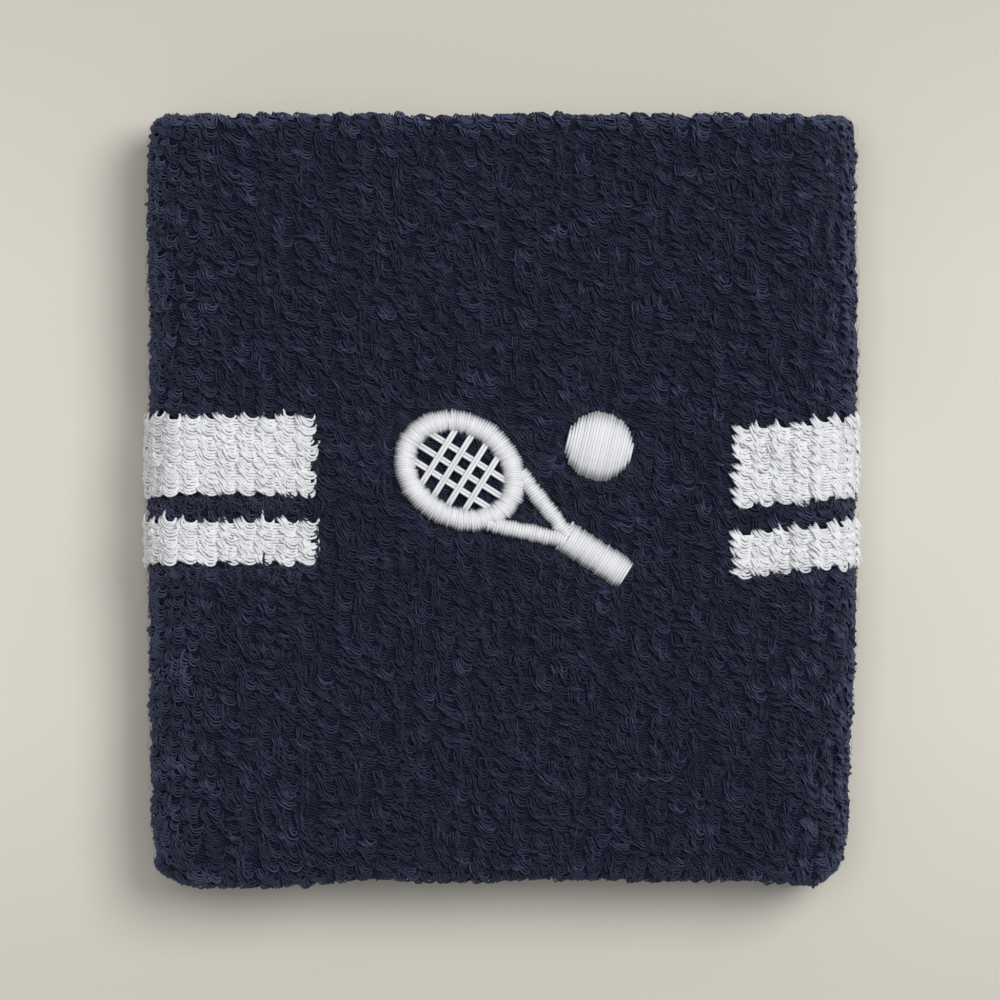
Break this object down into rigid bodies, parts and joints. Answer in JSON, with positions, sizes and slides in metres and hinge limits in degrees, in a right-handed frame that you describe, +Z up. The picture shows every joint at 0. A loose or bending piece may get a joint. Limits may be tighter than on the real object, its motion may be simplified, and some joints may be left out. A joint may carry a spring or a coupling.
{
  "type": "sweat wristband",
  "caption": "Short double-layer terry tube with rolled hems, pile stripes round the back and an embroidered racket-and-ball emblem on the front.",
  "frame": {"origin": "on the ground, under the middle of the band as it lies flat on its back", "axes": "+X across the flattened band, +Y along the tube towards the plain upper hem, +Z up, out of the embroidered front"},
  "size_m": [0.0728, 0.0788, 0.0151],
  "materials": {
    "navy_terry": "matt cotton loop pile, dark navy",
    "white_terry": "matt cotton loop pile, white",
    "satin_thread": "white satin-stitch embroidery thread, soft gloss",
    "seam_thread": "matt navy overlock thread",
    "covered_rubber": "rubber yarn covered with dark thread",
    "nonwoven_backing": "matt white non-woven stabiliser"
  },
  "bodies": {
    "root": {"outer_sleeve": "navy_terry", "inner_sleeve": "navy_terry", "wide_stripe": "white_terry", "narrow_stripe": "white_terry", "closing_seam": "seam_thread", "outer_elastic_yarn": "covered_rubber", "inner_elastic_yarn": "covered_rubber", "emblem_hoop": "satin_thread", "emblem_strings": "satin_thread", "emblem_throat": "satin_thread", "emblem_grip": "satin_thread", "emblem_ball": "satin_thread", "emblem_backing": "nonwoven_backing", "emblem_bobbin_thread": "satin_thread"}
  },
  "joints": []
}
